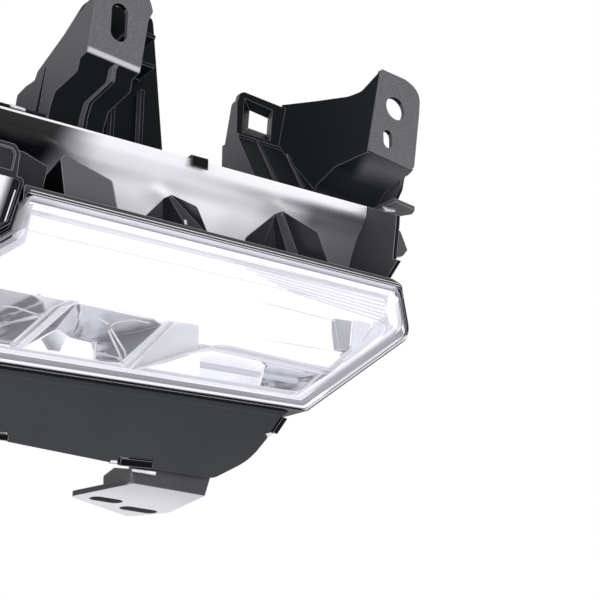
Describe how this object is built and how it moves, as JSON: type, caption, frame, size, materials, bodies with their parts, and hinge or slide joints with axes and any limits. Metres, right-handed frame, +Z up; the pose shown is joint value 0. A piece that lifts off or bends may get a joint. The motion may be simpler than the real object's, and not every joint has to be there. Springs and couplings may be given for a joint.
{
  "type": "daytime running light",
  "caption": "Long wedge-shaped daytime running light for a bumper, with a clear lens, a silver trim cove above it, two upper brackets, a lower shield and a rear heat sink.",
  "frame": {"origin": "centre of the round hole in the right bracket's plate, on the plate's front face", "axes": "+X to the right as seen from the front of the lamp, +Y to the rear, +Z up; the lens faces -Y"},
  "size_m": [0.2348, 0.077, 0.2133],
  "materials": {
    "black_housing": "moulded black plastic, fine grain",
    "clear_lens": "clear polycarbonate with a pale rim",
    "seal_rubber": "black elastomer",
    "bezel_white": "satin white",
    "light_guide": "clear acrylic, frosted front",
    "reflector_white": "white reflecting plastic",
    "reflector_silver": "metallised plastic",
    "circuit_board": "white solder mask",
    "led_package": "phosphor face in a white frame",
    "cast_aluminium": "die cast, bare",
    "screw_steel": "zinc plated",
    "unit_plastic": "black, fine grain",
    "pin_brass": "tinned brass",
    "silver_trim": "metallic silver, satin",
    "black_trim": "gloss black",
    "bracket_plastic": "dark grey, grained",
    "shield_plastic": "dark grey, satin",
    "bracket_steel": "pressed steel, grey paint"
  },
  "bodies": {
    "root": {"housing": "black_housing", "outer_lens": "clear_lens", "lens_seal": "seal_rubber", "bezel": "bezel_white", "upper_light_guide": "light_guide", "main_light_guide": "light_guide", "lower_light_guide": "light_guide", "guide_end_block": "light_guide", "guide_reflector": "reflector_white", "upper_led_board": "circuit_board", "upper_leds": "led_package", "lower_led_board": "circuit_board", "lower_leds": "led_package", "left_reflector": "reflector_silver", "middle_reflector": "reflector_silver", "right_reflector": "reflector_silver", "lower_light_blade": "light_guide", "cell_light_tube": "light_guide", "heat_sink": "cast_aluminium", "heat_sink_gasket": "seal_rubber", "heat_sink_screws": "screw_steel", "control_unit": "unit_plastic", "control_unit_screws": "screw_steel", "connector_socket": "unit_plastic", "connector_pins": "pin_brass", "vent_cap": "seal_rubber", "top_panel": "silver_trim", "panel_clip": "black_trim", "shield_clips": "black_trim", "left_bracket": "bracket_plastic", "right_bracket": "bracket_plastic", "bracket_screws": "screw_steel", "lower_shield": "shield_plastic", "lower_bracket": "bracket_steel", "lower_bracket_screws": "screw_steel", "side_lens": "clear_lens", "side_frame": "black_trim", "side_reflector": "reflector_white", "side_led_board": "circuit_board", "side_led": "led_package"}
  },
  "joints": []
}
